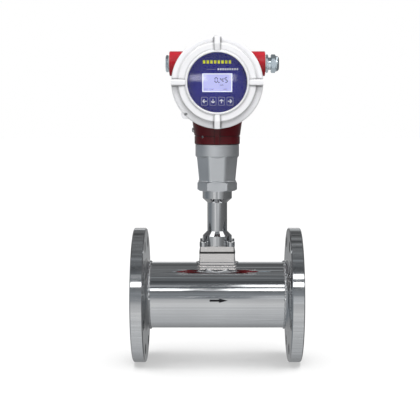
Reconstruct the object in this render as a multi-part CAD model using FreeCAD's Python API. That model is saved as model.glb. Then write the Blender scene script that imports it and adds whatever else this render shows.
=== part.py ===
import FreeCAD, Part

# Vortex flow meter: a flanged pipe with a bluff body across its bore, a probe behind it,
# and a neck that carries a swivelling head with a display chamber and a terminal chamber.
#
# Frame, in millimetres: the origin is the centre of the inlet flange's rim face, which the
# bolt holes reach. +X runs along the flow, +Z points up to the head, the display faces -Y.

import math
import os

from FreeCAD import Placement, Rotation, Vector

# Pipe and flanges
pipe_outer = 108.0
pipe_wall = 4.0
face_to_face = 276.0
flange_outer = 220.0
flange_thickness = 20.0
raised_face_inset = 31.0
raised_face_height = 2.0
bolt_inset = 20.0
bolt_count = 8
bolt_hole = 18.0
rim_chamfer = 1.5
flange_weld = 7.0
weld_hollow = 0.4
pipe_setback = 5.0

# Bluff body across the bore, and the probe behind it
bluff_width = 28.0
bluff_lip = 4.0
bluff_length = 34.0
bluff_tail_width = 8.0
bluff_to_paddle = 6.0
probe_stem_outer = 16.0
probe_head_outer = 33.0
probe_head_height = 6.0
probe_boss_outer = 11.0
probe_boss_height = 12.0
probe_seal_thickness = 1.5
paddle_length = 14.0
paddle_thickness = 4.0
paddle_reach = 42.0
paddle_round = 1.8
probe_stem_sink = 2.0
lead_outer = 4.0

# Sensor block, gasket, plate and their screws
block_width = 57.6
block_rise = 17.5
block_corner = 2.5
block_weld = 2.4
bead_low = 49.4
bead_height = 2.8
bead_overhang = 2.8
bead_roundness = 0.42
lip_low = 52.6
lip_height = 5.4
lip_overhang = 1.0
gasket_thickness = 3.0
gasket_overhang = 0.2
gasket_hole = 36.0
plate_thickness = 8.0
plate_inset = 0.8
screw_inset = 6.8
screw_thread = 8.0
screw_head_outer = 13.0
screw_head_height = 8.0
screw_socket = 6.0
screw_socket_depth = 4.0
screw_engagement = 12.0

# Neck
neck_screw_clear = 0.86
neck_base_height = 15.9
neck_lower_cone = 7.6
neck_tube_outer = 32.5
neck_tube_length = 46.5
neck_upper_cone = 7.0
neck_collar_outer = 48.0
neck_collar_height = 12.0
neck_bore = 16.0
neck_spigot_outer = 30.0
neck_thread = 39.0
neck_thread_in_adapter = 22.0
nut_across_flats = 56.0
nut_height = 15.3
nut_chamfer = 2.2

# Head adapter
adapter_flats_low = 58.3
adapter_flats_high = 65.5
adapter_flats_height = 37.7
adapter_corner = 8.0
adapter_flare_outer = 62.6
adapter_flare_height = 6.0
adapter_flare_rim = 0.6
adapter_flare_hollow = 0.45
adapter_shoulder = 4.0
adapter_outer = 71.0
adapter_ring_height = 18.7
adapter_bore = 24.0
adapter_chamfer = 0.8
spigot_outer = 56.0
spigot_height = 17.0
spigot_seal = 2.6
seal_groove_rise = 2.0
lock_groove_width = 6.0
lock_groove_depth = 2.0
lock_groove_margin = 2.0
spigot_chamfer = 1.0
feedthrough_height = 12.0

# Housing
collar_outer = 73.7
collar_height = 12.6
collar_groove_depth = 1.0
collar_groove_height = 1.3
collar_chamfer = 1.0
collar_to_centre = 97.5
throat_outer_high = 86.0
throat_rib_width = 7.0
throat_rib_rise = 1.6
throat_sink = 41.3
drum_outer = 124.0
drum_length = 88.0
drum_rim_outer = 132.0
drum_rim_width = 7.0
chamber_bore = 114.0
divider_thickness = 5.0
divider_front = 4.0
ear_outer = 40.0
ear_span = 155.0
ear_rise = 32.4
ear_back = 12.0
ear_round = 1.6
passage_bore = 16.0
passage_front = 14.0
entry_step = 2.0
collar_screw_thread = 4.0
collar_screw_sink = 0.6
collar_screw_angle = 230.0

# Covers
cover_outer = 144.0
cover_height = 25.7
cover_band_height = 14.0
cover_band_round = 3.0
cover_edge = 1.0
plateau_height = 23.6
plateau_outer = 122.0
window_opening = 93.0
bezel_width = 2.4
rib_width = 9.3
rib_height = 27.2
rib_end_height = 25.4
rib_inner_height = 24.9
rib_crest = 60.0
rib_round = 2.3
cover_bore = 104.8
cover_spigot_length = 14.0
cover_floor = 6.0
cover_seal = 3.0
cover_seal_radius = 61.5
lug_seal_gap = 8.1
lug_radius = 8.0
lug_angle = 225.0
lug_thread = 5.0
lug_screw_length = 8.0
boss_depth = 8.0
boss_inset = 1.0
window_lip = 2.0
glass_thickness = 8.0
glass_gasket = 0.8
glass_ring_height = 3.2
glass_ring_width = 5.0

# Display module and boards
fascia_height = 8.0
fascia_outer = 100.0
fascia_thickness = 1.5
carrier_outer = 99.0
carrier_wall = 3.0
carrier_height = 7.9
lcd_width = 47.0
lcd_height = 29.0
lcd_border = 4.0
key_width = 11.0
key_height = 14.5
key_pitch = 13.3
key_drop = 28.9
key_corner = 2.0
key_rise = 0.3
key_travel = 0.5
key_flange = 0.8
key_flange_thickness = 1.0
key_switch_width = 6.0
key_switch_height = 4.4
board_thickness = 1.6
board_outer = 96.0
board_boss_height = 8.0
board_post_reach = 42.0
board_post_outer = 8.0
lower_post_height = 14.0
can_width = 34.6
can_depth = 26.9
can_height = 6.0
transformer_width = 24.0
transformer_depth = 19.2
transformer_height = 9.8
transformer_place = (14.0, 4.0)
capacitor_outer = 9.6
capacitor_height = 10.5
capacitor_left = 16.0
capacitor_spacing = 16.0
standoff_across_flats = 6.0
board_screw_head = 5.6
board_screw_height = 2.0
board_screw_thread = 3.0

# Terminal chamber
terminal_board_outer = 100.0
terminal_board_top = 12.0
terminal_boss_height = 6.0
terminal_count = 6
terminal_pitch = 9.0
terminal_depth = 16.0
terminal_height = 14.0
terminal_screw = 5.0
terminal_end = 1.0
terminal_mouth_rise = 2.0
terminal_screw_sink = 1.0
feed_outer = 16.0
feed_flange = 20.0
feed_drop = 30.0
feed_rise = 2.0
earth_screw_head = 7.5
earth_screw_height = 2.6
earth_screw_thread = 4.0
earth_screw_length = 7.0
earth_washer = 9.0
earth_washer_thickness = 1.0
inner_earth_rise = 34.0
outer_earth_height = 22.6

# Cable gland and blanking plug
entry_thread = 20.0
entry_thread_length = 14.0
entry_washer_outer = 27.0
entry_washer_thickness = 1.0
gland_across_flats = 26.0
gland_hex_height = 4.0
gland_neck_height = 4.0
gland_nut_thread = 18.0
gland_nut_thread_length = 8.0
gland_bore = 14.0
gland_seal_length = 8.5
gland_ring_length = 1.5
gland_ring_relief = 0.7
gland_mouth_relief = 0.9
gland_nut_hex = 8.0
gland_dome = 5.5
cable_bore = 8.0
plug_across_flats = 24.0
plug_height = 5.0
entry_hex_chamfer = 1.2
entry_hex_turn = 30.0
gland_inner_bore = 10.0
gland_dome_shoulder = 1.0
gland_dome_wide = 12.5
gland_dome_top = 7.7

# Clearances
weld_gap = 0.1
thread_gap = 0.1
seat_gap = 0.1
swivel_lift = 0.2
swivel_gap = 0.25
cover_lift = 0.3
cover_gap = 0.3
screw_gap = 0.5
board_gap = 1.0
key_gap = 0.3

# Places that follow from the sizes, heights measured from the pipe's axis
stem_x = face_to_face / 2 - raised_face_height
outlet_x = face_to_face - 2 * raised_face_height
pipe_radius = pipe_outer / 2
bore_radius = pipe_radius - pipe_wall
bolt_radius = flange_outer / 2 - bolt_inset
raised_face_radius = flange_outer / 2 - raised_face_inset
screw_offset = block_width / 2 - screw_inset
neck_base_radius = math.hypot(screw_offset, screw_offset) - screw_head_outer / 2 - neck_screw_clear
block_top = pipe_radius + block_rise
gasket_top = block_top + gasket_thickness
plate_top = gasket_top + plate_thickness
neck_base_top = plate_top + neck_base_height
neck_tube_low = neck_base_top + neck_lower_cone
neck_tube_top = neck_tube_low + neck_tube_length
neck_collar_low = neck_tube_top + neck_upper_cone
neck_collar_top = neck_collar_low + neck_collar_height
nut_top = neck_collar_top + nut_height
adapter_flats_end = nut_top + adapter_flats_height
adapter_ring_low = adapter_flats_end + adapter_shoulder
adapter_top = adapter_ring_low + adapter_ring_height
collar_low = adapter_top + swivel_lift
collar_top = collar_low + collar_height
head_z = collar_low + collar_to_centre
face_y = drum_length / 2
throat_top = head_z - throat_sink
ear_x = ear_span / 2
probe_counterbore = probe_head_height + probe_seal_thickness
fascia_low = fascia_height - fascia_thickness
display_board_top = fascia_low - carrier_height
display_board_low = display_board_top - board_thickness
divider_face = divider_front - face_y
main_board_low = divider_face + board_boss_height
amplifier_board_low = main_board_low + board_thickness + lower_post_height
upper_post_low = amplifier_board_low + board_thickness
rear_divider_face = divider_thickness - divider_front - face_y
terminal_board_low = rear_divider_face + terminal_boss_height
glass_seat = plateau_height - window_lip
lug_reach = cover_seal_radius + lug_seal_gap
glass_low = glass_seat - glass_gasket - glass_thickness

AXIS_X = Vector(1, 0, 0)
AXIS_Y = Vector(0, 1, 0)
AXIS_Z = Vector(0, 0, 1)


def outline(steps):
    """Closed wire in the XZ plane. A step is a point, or a pair: an arc's middle and its end."""
    arcs = [isinstance(step[0], tuple) for step in steps]
    ends = [step[1] if arc else step for step, arc in zip(steps, arcs)]
    edges = []
    for number, step in enumerate(steps):
        start = Vector(ends[number - 1][0], 0, ends[number - 1][1])
        end = Vector(ends[number][0], 0, ends[number][1])
        if arcs[number]:
            edges.append(Part.Arc(start, Vector(step[0][0], 0, step[0][1]), end).toShape())
        else:
            edges.append(Part.LineSegment(start, end).toShape())
    return Part.Wire(edges)


def placed(shape, base, direction):
    """The shape with its own origin at base and its own Z axis along direction."""
    moved = shape.copy()
    moved.Placement = Placement(base, Rotation(AXIS_Z, direction))
    return moved


def turned(steps, base=Vector(), direction=AXIS_Z):
    """Solid of revolution of a profile of (radius, height) steps."""
    solid = Part.Face(outline(steps)).revolve(Vector(), AXIS_Z, 360)
    return placed(solid, base, direction)


def rod(radius, low, high, base=Vector(), direction=AXIS_Z):
    """Cylinder from low to high along direction."""
    return placed(Part.makeCylinder(radius, high - low, Vector(0, 0, low)), base, direction)


def ring(inner, outer, low, high, base=Vector(), direction=AXIS_Z):
    """Flat ring of rectangular section, with radii inner and outer."""
    return turned([(inner, low), (outer, low), (outer, high), (inner, high)], base, direction)


def round_ring(middle, thickness, height, base=Vector(), direction=AXIS_Z):
    """Ring of round section: middle is the radius of its centre line."""
    torus = Part.makeTorus(middle, thickness / 2, Vector(0, 0, height), AXIS_Z)
    return placed(torus, base, direction)


def block(width, depth, low, high, centre=(0.0, 0.0)):
    """Upright box, centred on a point of the XY plane."""
    corner = Vector(centre[0] - width / 2, centre[1] - depth / 2, low)
    return Part.makeBox(width, depth, high - low, corner)


def rounded_block(width, depth, low, high, corner, centre=(0.0, 0.0)):
    """Upright box with rounded upright edges."""
    solid = block(width, depth, low, high, centre)
    return solid.makeFillet(corner, upright_edges(solid))


def upright_edges(solid):
    return [edge for edge in solid.Edges if is_upright(edge)]


def is_upright(edge):
    box = edge.BoundBox
    return box.ZLength > 1e-6 and box.XLength < 1e-6 and box.YLength < 1e-6


def prism(sides, across_flats, low, high, first_flat=0.0):
    """Regular prism. first_flat is the angle at which one of its flats faces."""
    radius = across_flats / 2 / math.cos(math.pi / sides)
    angles = [first_flat + (number + 0.5) * 360 / sides for number in range(sides + 1)]
    corners = [polar(radius, angle, low) for angle in angles]
    return Part.Face(Part.makePolygon(corners)).extrude(Vector(0, 0, high - low))


def polar(radius, angle, height=0.0):
    """Point at a radius and an angle in degrees."""
    turn = math.radians(angle)
    return Vector(radius * math.cos(turn), radius * math.sin(turn), height)


def hex_nut(across_flats, low, high, chamfer, first_flat=0.0):
    """Hexagon with both its ends chamfered round."""
    corner = across_flats / math.sqrt(3)
    face = corner - chamfer / math.tan(math.radians(30))
    bounds = [(0, low), (face, low), (corner, low + chamfer)]
    bounds += [(corner, high - chamfer), (face, high), (0, high)]
    return prism(6, across_flats, low, high, first_flat).common(turned(bounds))


def socket_screw(thread, head, head_height, socket, socket_depth, length):
    """Cap screw: its head stands on the XY plane and its shank points down."""
    edge = head / 20
    steps = [(0, -length), (thread / 2, -length), (thread / 2, 0), (head / 2, 0)]
    steps += [(head / 2, head_height - edge), (head / 2 - edge, head_height), (0, head_height)]
    recess = prism(6, socket, head_height - socket_depth, head_height)
    return turned(steps).cut(recess)


def pan_screw(thread, head, head_height, length):
    """Round-headed screw with a slot: its head stands on the XY plane."""
    steps = [(0, -length), (thread / 2, -length), (thread / 2, 0), (head / 2, 0)]
    steps += [(head / 2, head_height / 2), (head * 0.36, head_height), (0, head_height)]
    slot = block(head, head / 7, head_height * 0.55, head_height)
    return turned(steps).cut(slot)


def set_screw(thread, length, socket):
    """Grub screw: its top is on the XY plane and it points down."""
    recess = prism(6, socket, -length / 2, 0)
    return rod(thread / 2, -length, 0).cut(recess)


def stem_place(height=0.0):
    """Point on the neck's axis."""
    return Vector(stem_x, 0, height)


def on_head(shape, front=True):
    """From a chamber's own frame, whose Z axis points out of it from its face, to the meter's."""
    moved = shape.copy()
    moved.rotate(Vector(), AXIS_X, 90)
    moved.translate(Vector(0, -face_y, 0))
    if not front:
        moved.rotate(Vector(), AXIS_Z, 180)
    moved.translate(stem_place(head_z))
    return moved


def fused(first, *others):
    return first.fuse(list(others)).removeSplitter()


def bolt_angles():
    return [(number + 0.5) * 360 / bolt_count for number in range(bolt_count)]


def flange(base, direction):
    """Plate flange with a raised face, straddled bolt holes and its weld to the pipe."""
    inner = pipe_radius + weld_gap
    outer = flange_outer / 2
    weld_middle = flange_weld * weld_hollow
    steps = [(inner, -raised_face_height), (raised_face_radius, -raised_face_height)]
    steps += [(raised_face_radius, 0), (outer - rim_chamfer, 0), (outer, rim_chamfer)]
    steps += [(outer, flange_thickness - rim_chamfer), (outer - rim_chamfer, flange_thickness)]
    steps += [(inner + flange_weld, flange_thickness)]
    steps += [((inner + weld_middle, flange_thickness + weld_middle),
               (inner, flange_thickness + flange_weld))]
    plate = turned(steps)
    for angle in bolt_angles():
        centre = polar(bolt_radius, angle)
        plate = plate.cut(rod(bolt_hole / 2, -1, flange_thickness + 1, centre))
    return placed(plate, base, direction)


def meter_tube():
    start = pipe_setback - raised_face_height
    end = outlet_x - start
    tube = ring(bore_radius, pipe_radius, start, end, direction=AXIS_X)
    probe_hole = rod(probe_stem_outer / 2 + screw_gap, 0, pipe_outer, stem_place())
    return tube.cut(probe_hole)


def bluff_body():
    """Upright bar of trapezoid section that sheds the vortices, welded across the bore."""
    tail_x = stem_x - paddle_length / 2 - bluff_to_paddle
    front_x = tail_x - bluff_length
    half = bluff_width / 2
    tail = bluff_tail_width / 2
    corners = [(front_x, -half), (front_x + bluff_lip, -half), (tail_x, -tail)]
    corners += [(x, -y) for x, y in reversed(corners)]
    points = [Vector(x, y, -pipe_radius) for x, y in corners + corners[:1]]
    bar = Part.Face(Part.makePolygon(points)).extrude(Vector(0, 0, pipe_outer))
    inside = rod(bore_radius - weld_gap, front_x - 1, tail_x + 1, direction=AXIS_X)
    return bar.common(inside)


def sensor_probe():
    """Disc head seated in the block, round stem through the pipe's wall, flat paddle in the flow."""
    head_low = block_top - probe_head_height
    stem_low = bore_radius - probe_stem_sink
    steps = [(0, stem_low), (probe_stem_outer / 2, stem_low), (probe_stem_outer / 2, head_low)]
    steps += [(probe_head_outer / 2, head_low), (probe_head_outer / 2, block_top)]
    steps += [(probe_boss_outer / 2, block_top), (probe_boss_outer / 2, block_top + probe_boss_height)]
    steps += [(0, block_top + probe_boss_height)]
    body = turned(steps)
    paddle_low = bore_radius - paddle_reach
    paddle = rounded_block(paddle_length, paddle_thickness, paddle_low, stem_low + 1, paddle_round)
    return placed(fused(body, paddle), stem_place(), AXIS_Z)


def sensor_seal():
    low = block_top - probe_counterbore
    return ring(probe_stem_outer / 2 + screw_gap, probe_head_outer / 2, low,
                low + probe_seal_thickness, stem_place())


def sensor_block():
    """Square seat for the probe: two weld beads round it, and its foot filleted to the pipe."""
    body = rounded_block(block_width, block_width, 0, block_top, block_corner, (stem_x, 0))
    pipe = rod(pipe_radius, stem_x - block_width, stem_x + block_width, direction=AXIS_X)
    welded = body.fuse(pipe)
    seam = [edge for edge in welded.Edges if on_seam(edge)]
    solid = welded.makeFillet(block_weld, seam)
    solid = solid.cut(rod(pipe_radius + weld_gap, stem_x - pipe_outer - block_width,
                          stem_x + pipe_outer + block_width, direction=AXIS_X))
    solid = fused(solid, weld_bead(bead_low, bead_height, bead_overhang),
                  weld_bead(lip_low, lip_height, lip_overhang))
    low = block_top - probe_counterbore
    holes = [rod(probe_head_outer / 2 + seat_gap, low, block_top + 1, stem_place())]
    holes += [rod(probe_stem_outer / 2 + screw_gap, 0, block_top, stem_place())]
    depth = screw_engagement + screw_gap
    holes += [rod(screw_thread / 2 + thread_gap, block_top - depth, block_top + 1, point)
              for point in neck_screw_points()]
    return solid.cut(holes)


def weld_bead(low, height, overhang):
    """Rounded band round the block, open to the pipe under it."""
    width = block_width + 2 * overhang
    bead = rounded_block(width, width, low, low + height, block_corner + overhang, (stem_x, 0))
    rims = [edge for edge in bead.Edges if edge.BoundBox.ZLength < 1e-6]
    bead = bead.makeFillet(min(height, 2 * overhang) * bead_roundness, rims)
    inner = block(block_width - 2, block_width - 2, low - 1, low + height + 1, (stem_x, 0))
    return bead.cut([inner, rod(pipe_radius + weld_gap, stem_x - block_width, stem_x + block_width,
                                direction=AXIS_X)])


def on_seam(edge):
    """Whether an edge is where the block's foot meets the pipe."""
    points = edge.discretize(5)
    on_pipe = all(abs(math.hypot(point.y, point.z) - pipe_radius) < 0.01 for point in points)
    on_block = all(abs(point.x - stem_x) < block_width / 2 + 0.01 for point in points)
    return on_pipe and on_block and points[0].z > 0 and edge.Length > 0.5


def neck_screw_points():
    signs = (-1, 1)
    return [Vector(stem_x + x * screw_offset, y * screw_offset, 0) for x in signs for y in signs]


def neck_gasket():
    width = block_width + 2 * gasket_overhang
    solid = rounded_block(width, width, block_top, gasket_top, block_corner, (stem_x, 0))
    holes = [rod(gasket_hole / 2, block_top - 1, gasket_top + 1, stem_place())]
    holes += [rod(screw_thread / 2 + screw_gap, block_top - 1, gasket_top + 1, point)
              for point in neck_screw_points()]
    return solid.cut(holes)


def neck_plate():
    width = block_width - 2 * plate_inset
    solid = rounded_block(width, width, gasket_top, plate_top, block_corner, (stem_x, 0))
    holes = [rod(neck_spigot_outer / 2 + weld_gap, gasket_top - 1, plate_top + 1, stem_place())]
    holes += [rod(screw_thread / 2 + screw_gap, gasket_top - 1, plate_top + 1, point)
              for point in neck_screw_points()]
    return solid.cut(holes)


def neck_tube():
    """Turned neck: base, waist, collar and the threaded end that carries the nut and the adapter."""
    thread_top = nut_top + neck_thread_in_adapter
    steps = [(neck_bore / 2, gasket_top), (neck_spigot_outer / 2, gasket_top)]
    steps += [(neck_spigot_outer / 2, plate_top), (neck_base_radius, plate_top)]
    steps += [(neck_base_radius, neck_base_top), (neck_tube_outer / 2, neck_tube_low)]
    steps += [(neck_tube_outer / 2, neck_tube_top), (neck_collar_outer / 2, neck_collar_low)]
    steps += [(neck_collar_outer / 2, neck_collar_top), (neck_thread / 2, neck_collar_top)]
    steps += [(neck_thread / 2, thread_top), (neck_bore / 2, thread_top)]
    return turned(steps, stem_place())


def neck_screws():
    length = plate_thickness + gasket_thickness + screw_engagement
    screw = socket_screw(screw_thread, screw_head_outer, screw_head_height, screw_socket,
                         screw_socket_depth, length)
    return [placed(screw, point + Vector(0, 0, plate_top), AXIS_Z) for point in neck_screw_points()]


def lock_nut():
    nut = hex_nut(nut_across_flats, neck_collar_top, nut_top, nut_chamfer, 90)
    hole = rod(neck_thread / 2 + thread_gap, neck_collar_top - 1, nut_top + 1)
    return placed(nut.cut(hole), stem_place(), AXIS_Z)


def octagon_wire(across_flats, height):
    """Regular octagon with rounded corners."""
    middle = across_flats / 2 - adapter_corner
    centre_radius = middle / math.cos(math.pi / 8)
    edges = []
    for number in range(8):
        turn = (number + 0.5) * 45
        centre = polar(centre_radius, turn, height)
        start, top, end = [centre + polar(adapter_corner, turn + swing) for swing in (-22.5, 0, 22.5)]
        if edges:
            edges.append(Part.LineSegment(edges[-1].Vertexes[-1].Point, start).toShape())
        edges.append(Part.Arc(start, top, end).toShape())
    edges.append(Part.LineSegment(edges[-1].Vertexes[-1].Point, edges[0].Vertexes[0].Point).toShape())
    return Part.Wire(edges)


def head_adapter():
    """Cast piece whose eight flats run out into a flare below and a round ring above.

    The spigot on its top is what the head turns on.
    """
    low = octagon_wire(adapter_flats_low, nut_top)
    grow = (adapter_flats_high - adapter_flats_low) / adapter_flats_height
    high = octagon_wire(adapter_flats_high + grow * adapter_shoulder, adapter_ring_low)
    body = Part.makeLoft([low, high], True, True)
    outer = adapter_outer / 2
    ring_top = adapter_top - adapter_chamfer
    body = body.common(rod(outer, nut_top, adapter_ring_low))
    flare_low = adapter_flare_outer / 2
    flare_high = adapter_flats_low / 2 - adapter_chamfer
    hollow = (flare_low - flare_high) / 4
    flare = turned([(0, nut_top), (flare_low, nut_top), (flare_low, nut_top + adapter_flare_rim),
                    ((flare_high + hollow, nut_top + adapter_flare_height * adapter_flare_hollow),
                     (flare_high, nut_top + adapter_flare_height)),
                    (0, nut_top + adapter_flare_height)])
    shoulder = turned([(0, adapter_flats_end - adapter_shoulder),
                       (adapter_flats_low / 2, adapter_flats_end - adapter_shoulder),
                       (outer, adapter_ring_low), (outer, ring_top),
                       (outer - adapter_chamfer, adapter_top), (0, adapter_top)])
    spigot_top = adapter_top + spigot_height
    groove_high = spigot_top - lock_groove_margin
    groove_low = groove_high - lock_groove_width
    groove = spigot_outer / 2 - lock_groove_depth
    seal_low = adapter_top + seal_groove_rise
    seal_high = seal_low + spigot_seal + seat_gap
    seal_floor = spigot_outer / 2 - spigot_seal
    steps = [(0, adapter_top - 1), (spigot_outer / 2, adapter_top - 1), (spigot_outer / 2, seal_low)]
    steps += [(seal_floor, seal_low), (seal_floor, seal_high), (spigot_outer / 2, seal_high)]
    steps += [(spigot_outer / 2, groove_low), (groove, groove_low), (groove, groove_high)]
    steps += [(spigot_outer / 2, groove_high)]
    steps += [(spigot_outer / 2, spigot_top - spigot_chamfer)]
    steps += [(spigot_outer / 2 - spigot_chamfer, spigot_top), (0, spigot_top)]
    solid = fused(body, flare, shoulder, turned(steps))
    socket_top = nut_top + neck_thread_in_adapter + screw_gap
    solid = solid.cut([rod(neck_thread / 2 + thread_gap, nut_top - 1, socket_top),
                       rod(adapter_bore / 2, nut_top, spigot_top + 1)])
    return placed(solid, stem_place(), AXIS_Z)


def swivel_seal():
    height = adapter_top + seal_groove_rise + (spigot_seal + seat_gap) / 2
    middle = spigot_outer / 2 + seat_gap / 2 - spigot_seal / 2
    return round_ring(middle, spigot_seal, height, stem_place())


def lead_feedthrough():
    """Potted plug in the adapter's bore, where the probe's lead ends."""
    top = adapter_top + spigot_height
    return rod(adapter_bore / 2 - seat_gap, top - feedthrough_height, top, stem_place())


def sensor_lead():
    top = adapter_top + spigot_height - feedthrough_height
    return rod(lead_outer / 2, block_top + probe_boss_height, top, stem_place())


def lug_point(height, front=True):
    """Lug's centre in a chamber's own frame: the two covers' lugs stand behind one another."""
    return polar(lug_reach, lug_angle if front else 180 - lug_angle, height)


def board_post_points(height):
    return [polar(board_post_reach, angle, height) for angle in (90, 210, 330)]


def earth_point():
    """Seat of the outer earth screw, on the left of the throat."""
    height = collar_low + outer_earth_height
    return Vector(stem_x - throat_radius(height) + earth_washer_thickness, 0, height)


def throat_radius(height):
    share = (height - collar_top) / (throat_top - collar_top)
    return collar_outer / 2 + share * (throat_outer_high - collar_outer) / 2


def housing_shell():
    """Outside of the casting: drum with rims, throat with ribs and collar, and two ears."""
    rim = drum_rim_outer / 2
    drum = drum_outer / 2
    slope = face_y - drum_rim_width - (rim - drum)
    steps = [(0, -face_y), (rim, -face_y), (rim, drum_rim_width - face_y), (drum, -slope)]
    steps += [(drum, slope), (rim, face_y - drum_rim_width), (rim, face_y), (0, face_y)]
    body = turned(steps, stem_place(head_z), AXIS_Y)
    collar = collar_outer / 2
    inset = collar - collar_groove_depth
    steps = [(0, collar_low), (collar - collar_chamfer, collar_low)]
    steps += [(collar, collar_low + collar_chamfer), (collar, collar_top)]
    steps += [(inset, collar_top), (inset, collar_top + collar_groove_height)]
    steps += [(throat_radius(collar_top + collar_groove_height), collar_top + collar_groove_height)]
    steps += [(throat_radius(throat_top), throat_top), (0, throat_top)]
    throat = turned(steps, stem_place())
    rib_reach = throat_outer_high + 2 * throat_rib_rise
    ribs = block(throat_rib_width, rib_reach, collar_low, throat_top, (stem_x, 0))
    steps = [(0, collar_low), (collar + throat_rib_rise, collar_low)]
    steps += [(collar + throat_rib_rise, collar_top)]
    steps += [(throat_outer_high / 2 + throat_rib_rise, throat_top), (0, throat_top)]
    ribs = ribs.common(turned(steps, stem_place()))
    ears = turned(ear_profile(), Vector(stem_x, ear_back, head_z + ear_rise), AXIS_X)
    bosses = [on_head(rod(lug_radius - boss_inset, -boss_depth, 0, lug_point(0, front)), front)
              for front in (True, False)]
    return fused(body, throat, ribs, ears, *bosses)


def ear_profile():
    """Profile of both ears in one, with rounded rims."""
    outer = ear_outer / 2
    bend = ear_round * (1 - math.sqrt(0.5))
    steps = [(0, -ear_x), (outer - ear_round, -ear_x)]
    steps += [((outer - bend, bend - ear_x), (outer, ear_round - ear_x))]
    steps += [(outer, ear_x - ear_round), ((outer - bend, ear_x - bend), (outer - ear_round, ear_x))]
    return steps + [(0, ear_x)]


def housing():
    """Casting with a display chamber in front, a terminal chamber behind and a wall between."""
    chamber = chamber_bore / 2
    posts = board_posts(divider_face, board_boss_height, True)
    posts += board_posts(rear_divider_face, terminal_boss_height, False)
    front_hollow = on_head(rod(chamber, divider_face, 1))
    rear_hollow = on_head(rod(chamber, rear_divider_face, 1), False)
    entry = rod(entry_thread / 2, -ear_x - 1, ear_x + 1,
                Vector(stem_x, ear_back, head_z + ear_rise), AXIS_X)
    inner_half = math.sqrt(chamber ** 2 - (ear_rise + entry_thread / 2) ** 2) - entry_step
    entry = entry.cut(block(2 * inner_half, drum_length, head_z, head_z + drum_outer, (stem_x, 0)))
    socket_top = adapter_top + spigot_height + screw_gap
    socket = rod(spigot_outer / 2 + swivel_gap, collar_low - 1, socket_top, stem_place())
    passage = rod(passage_bore / 2, socket_top - 1, head_z - chamber / 2,
                  Vector(stem_x, -passage_front, 0))
    feed_hole = on_head(rod(feed_outer / 2 + seat_gap, divider_face - divider_thickness - 1,
                            divider_face + 1, Vector(0, -feed_drop, 0)))
    solid = housing_shell().cut([front_hollow, rear_hollow])
    solid = fused(solid, *posts)
    return solid.cut([entry, socket, passage, feed_hole, collar_screw_hole(), outer_earth_seat()]
                     + tapped_holes())


def board_posts(floor, height, front):
    """Cast posts on the wall between the chambers."""
    posts = [rod(board_post_outer / 2, floor - 1, floor + height, point)
             for point in board_post_points(0)]
    if not front:
        posts = posts[1:]
        posts.append(rod(board_post_outer / 2, floor - 1, floor + height,
                         Vector(0, inner_earth_rise, 0)))
    return [on_head(post, front) for post in posts]


def tapped_holes():
    """Screw holes in the posts of both chambers."""
    radius = board_screw_thread / 2 + thread_gap
    depth = board_boss_height - 1
    holes = [on_head(rod(radius, divider_face + 1, divider_face + 1 + depth, point))
             for point in board_post_points(0)]
    holes += [on_head(rod(radius, rear_divider_face + 1, terminal_board_low + 1, point), False)
              for point in board_post_points(0)[1:]]
    earth_depth = earth_screw_length + screw_gap
    holes.append(on_head(rod(earth_screw_thread / 2 + thread_gap, terminal_board_low - earth_depth,
                             terminal_board_low + 1,
                             Vector(0, inner_earth_rise, 0)), False))
    return holes


def collar_screw_line():
    """Seat and direction of the grub screw that locks the swivel."""
    height = adapter_top + spigot_height - lock_groove_margin - lock_groove_width / 2
    outward = polar(1, collar_screw_angle)
    return stem_place(height) + outward * (collar_outer / 2 - collar_screw_sink), outward


def collar_screw_hole():
    seat, outward = collar_screw_line()
    return rod(collar_screw_thread / 2 + thread_gap, -collar_outer / 4, collar_outer / 4, seat, outward)


def collar_lock_screw():
    seat, outward = collar_screw_line()
    tip = spigot_outer / 2 - lock_groove_depth + screw_gap
    length = collar_outer / 2 - collar_screw_sink - tip
    return placed(set_screw(collar_screw_thread, length, collar_screw_thread / 2), seat, outward)


def outer_earth_seat():
    """Spot face and tapped hole for the outer earth screw."""
    face = rod(earth_washer / 2 + screw_gap, 0, throat_outer_high, earth_point(), -AXIS_X)
    hole = rod(earth_screw_thread / 2 + thread_gap, -earth_screw_length - screw_gap, 1,
               earth_point(), -AXIS_X)
    return face.fuse(hole)


def earth_screw(seat, direction):
    screw = pan_screw(earth_screw_thread, earth_screw_head, earth_screw_height, earth_screw_length)
    return placed(screw, seat + direction * earth_washer_thickness, direction)


def earth_washer_ring(seat, direction):
    return ring(earth_screw_thread / 2 + thread_gap, earth_washer / 2, 0, earth_washer_thickness,
                seat, direction)


def inner_earth_point():
    """Top of the rear chamber's earth post."""
    return Vector(stem_x, face_y + terminal_board_low, head_z + inner_earth_rise)


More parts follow.
